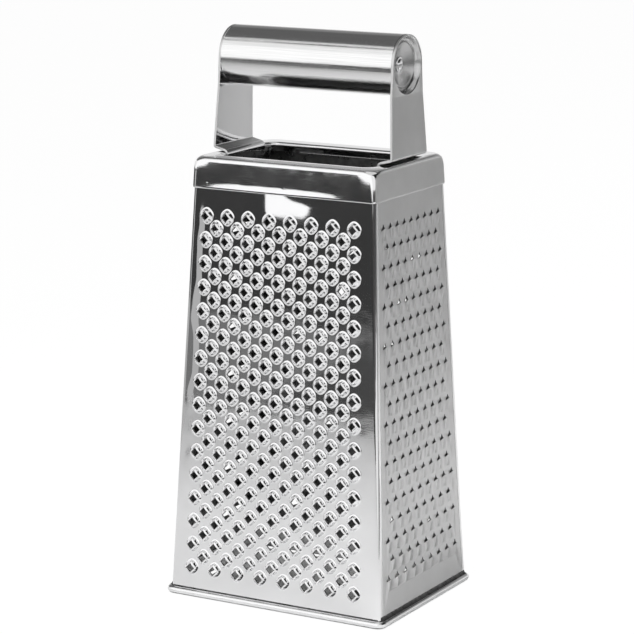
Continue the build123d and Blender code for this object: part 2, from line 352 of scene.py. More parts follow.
def combined(tree, operation, values):
    """Sum or product of some values."""
    total = values[0]
    for value in values[1:]:
        node = tree.nodes.new("ShaderNodeMath")
        node.operation = operation
        tree.links.new(total, node.inputs[0])
        tree.links.new(value, node.inputs[1])
        total = node.outputs[0]
    return total


def vector_step(tree, operation, vector, constant=None):
    """Node for one step of vector arithmetic, with a constant where the step needs one."""
    node = tree.nodes.new("ShaderNodeVectorMath")
    node.operation = operation
    tree.links.new(vector, node.inputs[0])
    if constant is not None:
        node.inputs[1].default_value = constant
    return node


def dent(tree, centre, radii, height):
    """Height of one round swelling or dent of the sheet, in metres."""
    away = vector_step(tree, "SUBTRACT", placed(tree), centre)
    scaled = vector_step(tree, "DIVIDE", away.outputs[0], radii)
    length = vector_step(tree, "LENGTH", scaled.outputs[0])
    return smooth_step(tree, length.outputs["Value"], 0.0, 1.0, height, 0.0)


def front_hollow(tree):
    """Height of the shallow hollow at the front sheet's top, which deepens upward, in metres."""
    place = parted(tree)
    return combined(tree, "MULTIPLY", [
        smooth_step(tree, place["X"], *HOLLOW_LEFT, 0.0, 1.0),
        smooth_step(tree, place["X"], *HOLLOW_RIGHT, 1.0, 0.0),
        smooth_step(tree, place["Z"], *HOLLOW_RISE, 0.0, -HOLLOW_DEPTH),
    ])


def left_curl(tree):
    """Height of the front sheet's left edge, which curls back along a wavy line, in metres."""
    across = vector_step(tree, "DOT_PRODUCT", placed(tree), (1, 0, -tan(WIDTH_LEAN)))
    wander = spread(tree, stretched_noise(tree, EVEN, 60, 1), -CURL_WANDER, CURL_WANDER)
    line = combined(tree, "ADD", [across.outputs["Value"], wander])
    edge = -BASE_WIDTH / 2 * MM
    curl = smooth_step(tree, line, edge + CURL_START, edge + CURL_END, -CURL_DEPTH, 0.0)
    fade = smooth_step(tree, parted(tree)["Z"], *CURL_FADE, 1.0, 0.0)
    return combined(tree, "MULTIPLY", [curl, fade])


def polished_steel(name, dents=(), curled=False):
    """Mirror polished sheet with soft waves, fine wiping marks and the dents of its making."""
    material, tree, shader = metal(name)
    wide = stretched_noise(tree, EVEN, 45, 2)
    marks = stretched_noise(tree, (1, 1, 14), 260, 4)
    colour = tinted(tree, wide, (0.79, 0.79, 0.795), (0.83, 0.83, 0.835))
    tree.links.new(colour, shader.inputs["Base Color"])
    tree.links.new(spread(tree, marks, 0.03, 0.075), shader.inputs["Roughness"])
    heights = [dent(tree, *mark) for mark in dents]
    if curled:
        heights += [left_curl(tree), front_hollow(tree)]
    pressed = bump(tree, combined(tree, "ADD", heights), 1.0, 1.0) if heights else None
    soft = bump(tree, wide, 0.0006, 0.22, pressed)
    tree.links.new(bump(tree, marks, 0.00002, 0.12, soft), shader.inputs["Normal"])
    return material


def satin_steel():
    """Satin sheet with a fine upright grain."""
    material, tree, shader = metal("satin_steel")
    wide = stretched_noise(tree, EVEN, 60, 2)
    grain = stretched_noise(tree, (60, 60, 1), 40, 4)
    tree.links.new(tinted(tree, wide, (0.57,) * 3, (0.61,) * 3), shader.inputs["Base Color"])
    tree.links.new(spread(tree, grain, 0.30, 0.40), shader.inputs["Roughness"])
    waves = bump(tree, wide, 0.0005, 0.10)
    tree.links.new(bump(tree, grain, 0.00003, 0.25, waves), shader.inputs["Normal"])
    return material


def grained_metal(name, noise, dark, light, roughness, relief):
    """Metal whose colour, roughness and relief follow one noise (stretch, scale, detail)."""
    material, tree, shader = metal(name)
    grain = stretched_noise(tree, *noise)
    tree.links.new(tinted(tree, grain, dark, light), shader.inputs["Base Color"])
    tree.links.new(spread(tree, grain, *roughness), shader.inputs["Roughness"])
    tree.links.new(bump(tree, grain, *relief), shader.inputs["Normal"])
    return material


POLISHED = polished_steel("polished_steel")
FRONT_POLISHED = polished_steel("front_polished", (FRONT_SWELLING,), curled=True)
COLLAR_POLISHED = polished_steel("collar_polished", WELD_MARKS)
SATIN = satin_steel()
# The pressed dish, the tube brushed along its length, the wire, the unpolished insides, and the folds by
# the bead, whose near-black colour is painted shade
PRESSED = grained_metal(
    "pressed_steel", (EVEN, 700, 4), (0.50,) * 3, (0.56,) * 3, (0.22, 0.28), (0.00002, 0.15)
)
BRUSHED = grained_metal(
    "brushed_tube", ((0.6, 55, 55), 60, 5), (0.74,) * 3, (0.84,) * 3, (0.10, 0.18), (0.00004, 0.5)
)
WIRE = grained_metal(
    "drawn_wire", (EVEN, 900, 4), (0.76, 0.76, 0.765), (0.82, 0.82, 0.825), (0.10, 0.20),
    (0.00002, 0.2),
)
MILL = grained_metal(
    "mill_steel", (EVEN, 320, 4), (0.20,) * 3, (0.34,) * 3, (0.22, 0.38), (0.00004, 0.3)
)
# Near-black fold colour: painted shade of the gap between a panel's foot and the bead
SHADE_FOLD = grained_metal(
    "painted_shade_fold", (EVEN, 320, 4), (0.06,) * 3, (0.13,) * 3, (0.22, 0.38), (0.00004, 0.3)
)


# Mesh helpers
class Skin:
    """Points and faces of one sheet's outer side, in millimetres."""

    def __init__(self):
        self.points = []
        self.faces = []

    def add(self, point):
        """Number of a new point."""
        self.points.append(Vector(point))
        return len(self.points) - 1

    def row(self, points):
        """Numbers of some new points."""
        return [self.add(point) for point in points]

    def strip(self, lower, upper, closed=False):
        """Quads between two rows of the same length, outward when lower runs right."""
        count = len(lower)
        for i in range(count if closed else count - 1):
            j = (i + 1) % count
            self.faces.append((lower[i], lower[j], upper[j], upper[i]))


def row_quads(rows):
    """Faces between rows of point numbers of the same length."""
    return [
        (lower[j], lower[j + 1], upper[j + 1], upper[j])
        for lower, upper in zip(rows, rows[1:])
        for j in range(len(lower) - 1)
    ]


def new_object(name, skin):
    """Object in the scene from a skin."""
    mesh = bpy.data.meshes.new(name)
    mesh.from_pydata([tuple(point * MM) for point in skin.points], [], skin.faces)
    piece = bpy.data.objects.new(name, mesh)
    scene.collection.objects.link(piece)
    return piece


def thicken(piece, thickness, inside_slot=0):
    """Give a skin its sheet's thickness, with a material slot for the inner side and the edges."""
    sheet = piece.modifiers.new("sheet", "SOLIDIFY")
    sheet.material_offset = inside_slot
    sheet.material_offset_rim = inside_slot
    sheet.thickness = thickness * MM
    sheet.offset = -1
    sheet.use_rim = True
    sheet.use_quality_normals = True


def settle(piece):
    """Apply the piece's modifiers to its mesh."""
    graph = bpy.context.evaluated_depsgraph_get()
    mesh = bpy.data.meshes.new_from_object(piece.evaluated_get(graph))
    piece.modifiers.clear()
    piece.data = mesh


def finish_piece(piece, angle, node):
    """Smooth faces, with sharp edges above an angle, hide the CAD part that the piece stands for, and
    attach the piece to the root body.
    """
    piece.data.shade_smooth()
    piece.data.set_sharp_from_angle(angle=radians(angle))
    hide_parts(node)
    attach(piece, "root")


def make_piece(
    name, skin, material, node, thickness=0.0, smooth=40, bevel=0.0, inside=None
):
    """Object from a skin, given its sheet's thickness, that stands for a CAD node."""
    piece = new_object(name, skin)
    piece.data.materials.append(material)
    if inside:
        piece.data.materials.append(inside)
    if thickness:
        thicken(piece, thickness, 1 if inside else 0)
    if bevel:
        edge = piece.modifiers.new("edge", "BEVEL")
        edge.width = bevel * MM
        edge.segments = 3
        edge.limit_method = "ANGLE"
        edge.angle_limit = radians(50)
    settle(piece)
    finish_piece(piece, smooth, node)
    return piece


def flat_sheet(outline, loops):
    """Points and rings of a sheet with holes, then its result: sources, their reverse and faces."""
    points, rings = [], []
    for loop in [outline] + loops:
        rings.append(list(range(len(points), len(points) + len(loop))))
        points += [Vector(p) for p in loop]
    _, _, faces, origins, _, sources = delaunay_2d_cdt(points, [], rings, 1, 1e-6)
    given = {start: i for i, starts in enumerate(origins) for start in starts}
    inside = [face for face, source in zip(faces, sources) if list(source) == [0]]
    return points, rings, [starts[0] for starts in origins], given, inside


def panel_with_features(skin, place, outline, features):
    """Flat sheet between an outline and the loops of its pressed features, then the features."""
    points, rings, starts, given, faces = flat_sheet(outline, [loop for loop, _, _ in features])
    ids = [skin.add(place(points[start].x, points[start].y, 0)) for start in starts]
    skin.faces += [tuple(ids[i] for i in face) for face in faces]
    for ring, (_, inner, quads) in zip(rings[1:], features):
        local = [ids[given[i]] for i in ring]
        local += [skin.add(place(*p)) for p in inner]
        for quad in quads:
            skin.faces.append(tuple(local[i] for i in quad))
    return [ids[given[i]] for i in rings[0]]


def lattice(rows, wide_row, first_height, row_pitch, pitch_low, pitch_high, shift=0):
    """Places in staggered rows that draw together towards the top, with each row's pitch."""
    places = []
    for row in range(rows):
        count = wide_row - row % 2
        pitch = pitch_low + (pitch_high - pitch_low) * row / (rows - 1)
        for column in range(count):
            across = shift + (column - (count - 1) / 2) * pitch
            places.append((across, first_height + row * row_pitch, pitch))
    return places


# Crown: a rounded-square dome, a steep step, and four petals round a square hole
def crown_feature(cx, cs, reach):
    """Loop, inner points and faces of one crown about a place on the panel."""
    count = CROWN_SEGMENTS
    k = reach / CROWN_SIDE_REACH

    def dome(inset, n):
        """Ring of the dome, drawn in by an inset."""
        ring = []
        for i in range(count):
            angle = 2 * pi * i / count
            corner = (1 + cos(4 * angle)) / 2 * (0.35 + 0.65 * sin(angle) ** 2)
            r = reach + CROWN_CORNER_EXTRA * corner - inset * k
            ring.append((cx + r * cos(angle), cs + r * sin(angle), n))
        return ring

    def diamond(apothem, n_side, n_corner, round_share):
        """Ring of the step, a square on its corner that is partly rounded."""
        ring = []
        for i in range(count):
            angle = 2 * pi * i / count
            side = (i % CROWN_PER_SIDE) / CROWN_PER_SIDE
            corner_a = Vector((cos(angle - side * pi / 2), sin(angle - side * pi / 2)))
            corner_b = Vector((-corner_a.y, corner_a.x))
            at = corner_a.lerp(corner_b, side) * apothem * sqrt(2) * k
            circle = Vector((cos(angle), sin(angle))) * apothem * ROUND_SWELL * k
            at = at.lerp(circle, round_share)
            ring.append((cx + at.x, cs + at.y, n_corner + (n_side - n_corner) * sin(pi * side)))
        return ring

    loop = [(p[0], p[1]) for p in dome(0, 0)]
    rings = [dome(inset, n) for inset, n in DOME_STEPS] + [diamond(*STEP_FOOT), diamond(*STEP_HEAD)]
    inner = [point for ring in rings for point in ring]
    quads = []
    for level in range(len(rings)):
        for i in range(count):
            a, b = level * count + i, level * count + (i + 1) % count
            quads.append((a, b, b + count, a + count))
    base_start = len(rings) * count
    base_apothem, base_side, base_corner, _ = STEP_HEAD
    for side in range(4):
        middle = pi / 4 + side * pi / 2
        out = Vector((cos(middle), sin(middle)))
        along = Vector((-out.y, out.x))
        rows = [
            [base_start + (side * CROWN_PER_SIDE + i) % count for i in range(CROWN_PER_SIDE + 1)]
        ]
        for rise, narrow in PETAL_ROWS:
            apothem = (base_apothem - (base_apothem - RIM_APOTHEM) * rise) * k
            ids = []
            for i in range(CROWN_PER_SIDE + 1):
                t = i / CROWN_PER_SIDE * 2 - 1
                at = out * apothem + along * base_apothem * k * t * narrow
                base_n = base_corner + (base_side - base_corner) * cos(pi / 2 * t * narrow)
                top_n = CROWN_HEIGHT * (1 - PETAL_DROOP * t * t)
                ids.append(count + len(inner))
                inner.append((cx + at.x, cs + at.y, base_n + (top_n - base_n) * rise))
            rows.append(ids)
        quads += row_quads(rows)
    return loop, inner, quads


# Tooth: a leaf-shaped place whose lower part rises to a lip under an open mouth
def tooth_feature(cx, cs, width, ramp, height, mouth, across, along):
    """Loop, inner points and faces of one tooth that opens upward."""
    half = width / 2
    left, right = [], []
    for i in range(along):
        q = i / along
        reach = half * q ** TOOTH_TAPER
        left.append((cx - reach, cs - ramp * (1 - q)))
        right.append((cx + reach, cs - ramp * (1 - q)))
    tip = left[0]
    left.append((cx - half, cs - TOOTH_LIP_DROP * ramp))
    right.append((cx + half, cs - TOOTH_LIP_DROP * ramp))
    loop = [tip] + right[1:]
    for out, up in (TOOTH_SHOULDER, TOOTH_MOUTH_MIDDLE):
        loop.append((cx + half * out, cs + up * mouth))
    loop.append((cx, cs + mouth))
    for out, up in (TOOTH_MOUTH_MIDDLE, TOOTH_SHOULDER):
        loop.append((cx - half * out, cs + up * mouth))
    loop += left[:0:-1]
    place_of = {p: i for i, p in enumerate(loop)}
    inner, rows = [], []
    for i in range(1, along + 1):
        q = i / along
        a, b = left[i], right[i]
        ids = [place_of[a]]
        for j in range(1, across):
            t = j / across * 2 - 1
            ids.append(len(loop) + len(inner))
            inner.append((
                a[0] + (b[0] - a[0]) * j / across,
                a[1] + TOOTH_PULL * ramp * q ** 3 * (1 - t * t),
                height * (1 - t * t) ** TOOTH_SWELL * q ** TOOTH_RISE,
            ))
        ids.append(place_of[b])
        rows.append(ids)
    quads = [(place_of[tip], rows[0][j + 1], rows[0][j]) for j in range(across)]
    return loop, inner, quads + row_quads(rows)


def slot_feature(cs, width, ramp, height, mouth, across=24, along=5):
    """Loop, inner points and faces of one long slicing slot that opens upward."""
    half = width / 2
    corner = mouth * SLOT_CORNER
    columns = [-half + width * j / across for j in range(across + 1)]
    loop = [(x, cs - ramp) for x in columns]
    loop += [(half, cs - ramp * (1 - i / along)) for i in range(1, along + 1)]
    loop += [(half, cs + mouth - corner), (half - corner, cs + mouth)]
    loop += [(-half + corner, cs + mouth), (-half, cs + mouth - corner)]
    loop += [(-half, cs - ramp * (1 - i / along)) for i in range(along, 0, -1)]
    place_of = {p: i for i, p in enumerate(loop)}
    inner = []
    rows = [[place_of[(x, cs - ramp)] for x in columns]]
    for i in range(1, along + 1):
        s = cs - ramp * (1 - i / along)
        ids = [place_of[(-half, s)]]
        for x in columns[1:-1]:
            edge = min(1.0, (half - abs(x)) / (SLOT_END * width))
            ids.append(len(loop) + len(inner))
            inner.append((x, s, height * (i / along) ** SLOT_RISE * sin(pi / 2 * edge)))
        ids.append(place_of[(half, s)])
        rows.append(ids)
    return loop, inner, row_quads(rows)


def panel_corners(half, inset, lean):
    """Corners of a panel's flat part, inset from its side edges, anticlockwise from low left."""
    return [
        (sign * (half(height) - inset), height / cos(lean))
        for height, sign in ((PANEL_LOW, -1), (PANEL_LOW, 1), (PANEL_TOP, 1), (PANEL_TOP, -1))
    ]


def side_strip(skin, sign, corners, low, high):
    """Faces from a panel's flat part out over the rows of one of its side edges."""
    if sign > 0:
        skin.strip([corners[1]] + low, [corners[2]] + high)
    else:
        skin.strip(([corners[0]] + low)[::-1], ([corners[3]] + high)[::-1])


# Wide panels: the flat sheet, and on each side a fold and a short return
def wide_panel(name, place, side, features, material, node, smooth):
    """Wide panel whose flat part has features; side is -1 for the front and 1 for the back."""
    skin = Skin()
    flat = panel_corners(half_width, CORNER_RADIUS + FEATURE_GUARD, DEPTH_LEAN)
    corners = panel_with_features(skin, place, flat, features)
    for sign in (-1, 1):
        rows = []
        for height in (PANEL_LOW, PANEL_TOP):
            w, d = half_width(height), half_depth(height)
            column = [(w - CORNER_RADIUS, d)]
            for step in range(1, FOLD_STEPS + 1):
                angle = pi / 2 * step / FOLD_STEPS
                column.append(
                    (w - CORNER_RADIUS * (1 - sin(angle)), d - CORNER_RADIUS * (1 - cos(angle)))
                )
            column.append((w, d - CORNER_RADIUS - SEAM_GAP))
            column.append((w, d - RETURN_WIDTH))
            rows.append(skin.row([(sign * -side * x, side * y, height) for x, y in column]))
        side_strip(skin, sign, corners, *rows)
    make_piece(name, skin, material, node, SHEET, smooth, inside=MILL)


crowns = []
for across, up, pitch in lattice(
    CROWN_ROWS, CROWN_WIDE_ROW, CROWN_FIRST_HEIGHT, CROWN_ROW_PITCH, CROWN_PITCH_LOW,
    CROWN_PITCH_HIGH, CROWN_SHIFT,
):
    spacing = hypot(pitch / 2 - CROWN_COLUMN_GAP, CROWN_ROW_PITCH)
    reach = min(CROWN_SIDE_REACH, spacing / 2 - CROWN_CLEARANCE)
    crowns.append(crown_feature(across, up, reach))
wide_panel("front_panel_crowned", FRONT, -1, crowns, FRONT_POLISHED, "front_panel", 15)

coarse_teeth = [
    tooth_feature(across, up, width=8.4, ramp=7.5, height=2.6, mouth=5.6, across=12, along=7)
    for across, up, _ in lattice(8, 5, 20.0, 20.0, 17.0, 14.6)
]
wide_panel("back_panel_toothed", BACK, 1, coarse_teeth, POLISHED, "back_panel", 50)


# Narrow panels: a flush sheet whose edges step down behind the returns
def narrow_panel(name, place, features, node):
    """Narrow panel whose flat part has features."""
    skin = Skin()
    margin = RETURN_WIDTH + SEAM_GAP
    flat = panel_corners(half_depth, margin + FEATURE_GUARD, WIDTH_LEAN)
    corners = panel_with_features(skin, place, flat, features)
    steps = (
        (margin + SEAM_BREAK, 0.0), (margin, -SEAM_BREAK), (margin, -SHEET),
        (margin - SEAM_GAP, -SHEET - LAP_GAP), (CORNER_RADIUS, -SHEET - LAP_GAP),
    )
    for sign in (-1, 1):
        low, high = [], []
        for inset, n in steps:
            edge = panel_corners(half_depth, inset, WIDTH_LEAN)
            a, b = (edge[1], edge[2]) if sign > 0 else (edge[0], edge[3])
            low.append(skin.add(place(*a, n)))
            high.append(skin.add(place(*b, n)))
        side_strip(skin, sign, corners, low, high)
    make_piece(name, skin, SATIN, node, SHEET, 50, inside=MILL)


fine_teeth = [
    tooth_feature(across, up, width=3.2, ramp=4.6, height=1.0, mouth=2.7, across=8, along=5)
    for across, up, _ in lattice(19, 9, 18.0, 8.12, 7.6, 6.1)
]
narrow_panel("right_panel_toothed", RIGHT, fine_teeth, "right_panel")

slots = []
for row in range(SLOT_COUNT):
    width = SLOT_WIDTH_LOW - (SLOT_WIDTH_LOW - SLOT_WIDTH_HIGH) * row / (SLOT_COUNT - 1)
    height = SLOT_FIRST_HEIGHT + row * SLOT_PITCH
    slots.append(slot_feature(height, width, ramp=7.5, height=1.8, mouth=3.6))
narrow_panel("left_panel_slotted", LEFT, slots, "left_panel")


# Rounded rectangle loops for the rim and the collar
def rounded_loop(half_x, half_y, radius, height, steps=8, sides=1):
    """Points round a rectangle with rounded corners and parted sides, anticlockwise from above."""
    points = []
    for quarter, (sx, sy) in enumerate(((1, -1), (1, 1), (-1, 1), (-1, -1))):
        for step in range(steps + 1):
            angle = -pi / 2 + pi / 2 * quarter + pi / 2 * step / steps
            points.append((
                sx * (half_x - radius) + radius * cos(angle),
                sy * (half_y - radius) + radius * sin(angle),
                height,
            ))
    loop = []
    for i, point in enumerate(points):
        loop.append(point)
        if i % (steps + 1) == steps:
            start, end = Vector(point), Vector(points[(i + 1) % len(points)])
            loop.extend(tuple(start.lerp(end, part / sides)) for part in range(1, sides))
    return loop


# Rim: the inner band, rolled out into a bead round the foot
def bead_point(angle):
    """(outward, height) of a point on the bead, from the bead's middle line."""
    return BEAD_RADIUS * cos(angle), BEAD_MIDDLE + BEAD_RADIUS * sin(angle)


def rim_section():
    """Closed section of the band and its bead, as (outward, height)."""
    foot_angle = asin(BEAD_MIDDLE / BEAD_RADIUS)
    inner = BEAD_RADIUS - BAND_SHEET
    lean = (BAND_TOP - BEAD_MIDDLE) * tan((WIDTH_LEAN + DEPTH_LEAN) / 2)
    section = []
    for step in range(BEAD_STEPS):
        out, height = bead_point(-foot_angle + (pi + foot_angle) * step / BEAD_STEPS)
        if out >= -inner or height <= BEAD_MIDDLE:
            section.append((out, height))
    section.append((-inner, BEAD_MIDDLE + sqrt(BEAD_RADIUS ** 2 - inner ** 2)))
    section.append((-inner - lean, BAND_TOP))
    section.append((-BEAD_RADIUS - lean, BAND_TOP))
    section.append((-BEAD_RADIUS, BEAD_MIDDLE))
    for step in range(1, BEAD_UNDER_STEPS + 1):
        point = bead_point(pi + (pi - foot_angle) * step / BEAD_UNDER_STEPS * 0.999)
        if point[1] > 0:
            section.append(point)
    return section


def base_rim():
    """Rim section carried round the foot."""
    skin = Skin()
    loops = [
        skin.row(rounded_loop(BEAD_X + out, BEAD_Y + out, BEAD_CORNER + out, height))
        for out, height in rim_section()
    ]
    for lower, upper in zip(loops, loops[1:] + loops[:1]):
        skin.strip(lower, upper, closed=True)
    make_piece("base_rim_rolled", skin, POLISHED, "base_rim")


def rim_fold(name, wide, sign, top, reach):
    """Fold of the band that shows between a panel's foot and the bead, on one side, coloured near black
    as painted shade of the gap there.
    """
    half, other = (half_depth, half_width) if wide else (half_width, half_depth)
    bead = BEAD_Y if wide else BEAD_X
    head = half(top) + FOLD_PROUD
    foot = bead + reach
    crest = BEAD_MIDDLE + sqrt(BEAD_RADIUS ** 2 - reach ** 2) - FOLD_SINK
    section = [
        (head, top),
        (head + FOLD_KNEE[0] * (foot - head), top - FOLD_KNEE[1] * (top - crest)),
        (foot, crest),
        (bead - FOLD_TOE[0], BEAD_MIDDLE + FOLD_TOE[1]),
        (half(top) - FOLD_TUCK, top),
    ]
    if (sign > 0) == wide:
        section.reverse()
    skin = Skin()
    rows = []
    for end in (-1, 1):
        along = end * (other(top) - FOLD_END)
        rows.append(skin.row([
            (along, sign * out, height) if wide else (sign * out, along, height)
            for out, height in section
        ]))
    skin.strip(rows[0], rows[1], closed=True)
    skin.faces.append(tuple(reversed(rows[0])))
    skin.faces.append(tuple(rows[1]))
    make_piece(name, skin, SHADE_FOLD, "base_rim")


base_rim()
rim_fold("rim_fold_right", False, 1, *NARROW_FOLD)
rim_fold("rim_fold_left", False, -1, *NARROW_FOLD)
rim_fold("rim_fold_front", True, -1, *WIDE_FOLD)
rim_fold("rim_fold_back", True, 1, *WIDE_FOLD)
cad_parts["rim_wire"].data.materials.clear()
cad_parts["rim_wire"].data.materials.append(WIRE)


# Collar: skirt, shoulder, narrow flat and a lip rolled down into the opening
def collar_levels():
    """Heights of the collar's rings from its lower edge to its flat, with how far each is drawn in."""
    levels = [(COLLAR_LOW + rise, drawn) for rise, drawn in HEM_STEPS]
    levels += [(height, 0.0) for height in SKIRT_HEIGHTS]
    turn_rise = SHOULDER_TIGHT * (1 - sin(SHOULDER_TURN))
    turn_draw = SHOULDER_WIDE * (1 - cos(SHOULDER_TURN))
    wide_foot = COLLAR_TOP - turn_rise - SHOULDER_WIDE * sin(SHOULDER_TURN)
    levels += [(wide_foot - below, 0.0) for below in SHOULDER_APPROACH]
    for step in range(WIDE_STEPS + 1):
        angle = SHOULDER_TURN * step / WIDE_STEPS
        levels.append((wide_foot + SHOULDER_WIDE * sin(angle), SHOULDER_WIDE * (1 - cos(angle))))
    for step in range(1, TIGHT_STEPS + 1):
        angle = SHOULDER_TURN + (pi / 2 - SHOULDER_TURN) * step / TIGHT_STEPS
        levels.append((
            COLLAR_TOP - SHOULDER_TIGHT * (1 - sin(angle)),
            turn_draw + SHOULDER_TIGHT * (cos(SHOULDER_TURN) - cos(angle)),
        ))
    return levels


def collar_ring(height, drawn):
    """Points round the collar at a height; the skirt flares a little on the wide sides."""
    proud = COLLAR_CLEARANCE + COLLAR_SHEET
    w = half_width(height) + proud - drawn
    d = half_depth(height) + proud - drawn
    climb = max(0.0, height - CORNER_START) / (COLLAR_TOP - CORNER_START)
    growth = (CORNER_TOP_RADIUS - CORNER_RADIUS) * climb ** CORNER_GROWTH
    corner = CORNER_RADIUS + COLLAR_SHEET + growth
    flare = FLARE * max(0.0, (FLARE_TOP - height) / (FLARE_TOP - COLLAR_LOW)) ** FLARE_CURVE
    ring = []
    for x, y, z in rounded_loop(w, d, corner, height, COLLAR_CORNER_STEPS, COLLAR_SIDE_PARTS):
        share = 0.0
        if abs(y) > d - 0.01:
            share = max(0.0, 1 - ((x + FLARE_SHIFT) / FLARE_HALF_LENGTH) ** 2)
        ring.append((x, y + flare * share * (1 if y > 0 else -1), z))
    return ring


def notch_cutter():
    """Two boxes that cut the notches for the straps."""
    cut = Skin()
    for sign in (-1, 1):
        a, b = sorted((sign * NOTCH_INNER, sign * NOTCH_REACH))
        low, high = [
            cut.row([
                (a, -NOTCH_HALF, height), (b, -NOTCH_HALF, height),
                (b, NOTCH_HALF, height), (a, NOTCH_HALF, height),
            ])
            for height in (NOTCH_LOW, NOTCH_HIGH)
        ]
        cut.strip(low, high, closed=True)
        cut.faces.append(tuple(low[::-1]))
        cut.faces.append(tuple(high))
    return new_object("cutter", cut)


def collar():
    """Collar with a notch on each narrow side, polished in front and satin at the sides."""
    skin = Skin()
    loops = [skin.row(collar_ring(height, drawn)) for height, drawn in collar_levels()]
    lip = [(LIP_ROLL + LIP_START, COLLAR_TOP)]
    lip += [(LIP_ROLL * out, COLLAR_TOP - LIP_ROLL * drop) for out, drop in LIP_STEPS]
    lip.append((0.0, COLLAR_TOP - LIP_DEPTH))
    for out, height in lip:
        loops.append(skin.row(rounded_loop(
            OPENING_WIDTH / 2 + out, OPENING_DEPTH / 2 + out, OPENING_RADIUS + out, height,
            COLLAR_CORNER_STEPS, COLLAR_SIDE_PARTS,
        )))
    for lower, upper in zip(loops, loops[1:]):
        skin.strip(lower, upper, closed=True)
    piece = new_object("top_collar_folded", skin)
    thicken(piece, COLLAR_SHEET)
    cutter = notch_cutter()
    notch = piece.modifiers.new("notch", "BOOLEAN")
    notch.operation = "DIFFERENCE"
    notch.solver = "EXACT"
    notch.object = cutter
    settle(piece)
    bpy.data.objects.remove(cutter)
    piece.data.materials.append(COLLAR_POLISHED)
    piece.data.materials.append(SATIN)
    for face in piece.data.polygons:
        low = face.center.z < (COLLAR_TOP - SHOULDER_ROUNDING) * MM
        if abs(face.normal.x) > SIDE_FACING and low:
            face.material_index = 1
    finish_piece(piece, 35, "top_collar")


collar()


# Brackets: a strap with a round head and a stepped dish, bent in to the inside of the body
def strap_path():
    """Outer face's (x, height) down the strap, below its flat head."""
    corners = [(STRAP_FACE, STRAP_BEND), (STRAP_FOOT_FACE, STRAP_FOOT), (NECK_FACE, NECK_TOP)]
    corners.append((NECK_FACE, NECK_LOW))
    corners += [(half_width(height) - SHEET - LAP_GAP, height) for height in (TAB_TOP, TAB_LOW)]
    points = [corners[0]]
    for before, corner, after in zip(corners, corners[1:], corners[2:]):
        here = Vector(corner)
        back = (Vector(before) - here).normalized()
        on = (Vector(after) - here).normalized()
        turn = back.angle(on)
        radius = BEND_SHARP if turn < BEND_GENTLE_FROM else BEND_GENTLE
        reach = min(radius / tan(turn / 2), BEND_REACH)
        radius = reach * tan(turn / 2)
        centre = here + (back + on).normalized() * hypot(reach, radius)
        start, end = here + back * reach, here + on * reach
        for step in range(BEND_STEPS + 1):
            at = start.lerp(end, step / BEND_STEPS) - centre
            points.append(tuple(centre + at.normalized() * radius))
    points.append(corners[-1])
    return points


def half_strap(height):
    """Half the strap's width at a height, below its round head."""
    if height <= STRAP_SHOULDER:
        return STRAP_FOOT_HALF
    drop = (GRIP_HEIGHT - height) / (GRIP_HEIGHT - STRAP_SHOULDER)
    return STRAP_TOP_RADIUS + (STRAP_FOOT_HALF - STRAP_TOP_RADIUS) * drop


def round_grip(radius, count=ROUND_STEPS):
    """(y, height) of points on a circle round the grip's axis."""
    turns = [2 * pi * i / count for i in range(count)]
    return [(radius * cos(turn), GRIP_HEIGHT + radius * sin(turn)) for turn in turns]


def bracket(name, side, node):
    """Strap with its dish; side is 1 for the right and -1 for the left."""
    skin = Skin()
    path = strap_path()
    outline = []
    for i in range(ROUND_STEPS // 2 + 1):
        angle = pi * i / (ROUND_STEPS // 2)
        outline.append((STRAP_TOP_RADIUS * cos(angle), GRIP_HEIGHT + STRAP_TOP_RADIUS * sin(angle)))
    outline.append((-half_strap(STRAP_BEND), STRAP_BEND))
    outline.append((half_strap(STRAP_BEND), STRAP_BEND))
    dish = [
        skin.row([(side * (STRAP_FACE + n), y, z) for y, z in round_grip(r)])
        for r, n in DISH_PROFILE
    ]
    for outer, inner in zip(dish, dish[1:]):
        skin.strip(outer, inner, closed=True)
    count = len(outline)
    points, _, starts, given, faces = flat_sheet(outline, [round_grip(MOUTH_RADIUS)])
    ids = [
        dish[0][start - count] if start >= count else skin.add((side * STRAP_FACE, *points[start]))
        for start in starts
    ]
    skin.faces += [tuple(ids[i] for i in face) for face in faces]
    previous = [ids[given[count - 2]], ids[given[count - 1]]]
    for x, height in path[1:]:
        half = half_strap(height)
        row = skin.row([(side * x, -half, height), (side * x, half, height)])
        skin.faces.append((row[0], row[1], previous[1], previous[0]))
        previous = row
    if side < 0:
        skin.faces = [tuple(reversed(face)) for face in skin.faces]
    piece = make_piece(name, skin, SATIN, node, STRAP_THICK, 30, STRAP_EDGE)
    piece.data.materials.append(POLISHED)
    piece.data.materials.append(PRESSED)
    for face in piece.data.polygons:
        away = hypot(face.center.y / MM, face.center.z / MM - GRIP_HEIGHT)
        if away < MOUTH_RADIUS - DISH_EDGE:
            face.material_index = 2
        elif side * face.normal.x < INSIDE_FACING and face.center.z > BODY_HEIGHT * MM:
            face.material_index = 1


bracket("right_bracket_dished", 1, "right_bracket")
bracket("left_bracket_dished", -1, "left_bracket")


# Grip tube, and the rod whose ends are the rivets
def grip_tube():
    """Tube with a small break on its end edges."""
    outer, inside, cut = TUBE_RADIUS, TUBE_RADIUS - TUBE_WALL, TUBE_BREAK
    profile = [
        (-TUBE_HALF, inside + cut), (-TUBE_HALF, outer - cut), (-TUBE_HALF + cut, outer),
        (TUBE_HALF - cut, outer), (TUBE_HALF, outer - cut), (TUBE_HALF, inside + cut),
        (TUBE_HALF - cut, inside), (-TUBE_HALF + cut, inside),
    ]
    skin = Skin()
    rings = [skin.row([(x, y, z) for y, z in round_grip(r)]) for x, r in profile]
    for lower, upper in zip(rings, rings[1:] + rings[:1]):
        skin.strip(upper, lower, closed=True)
    make_piece("grip_tube_brushed", skin, BRUSHED, "grip_tube", smooth=30)


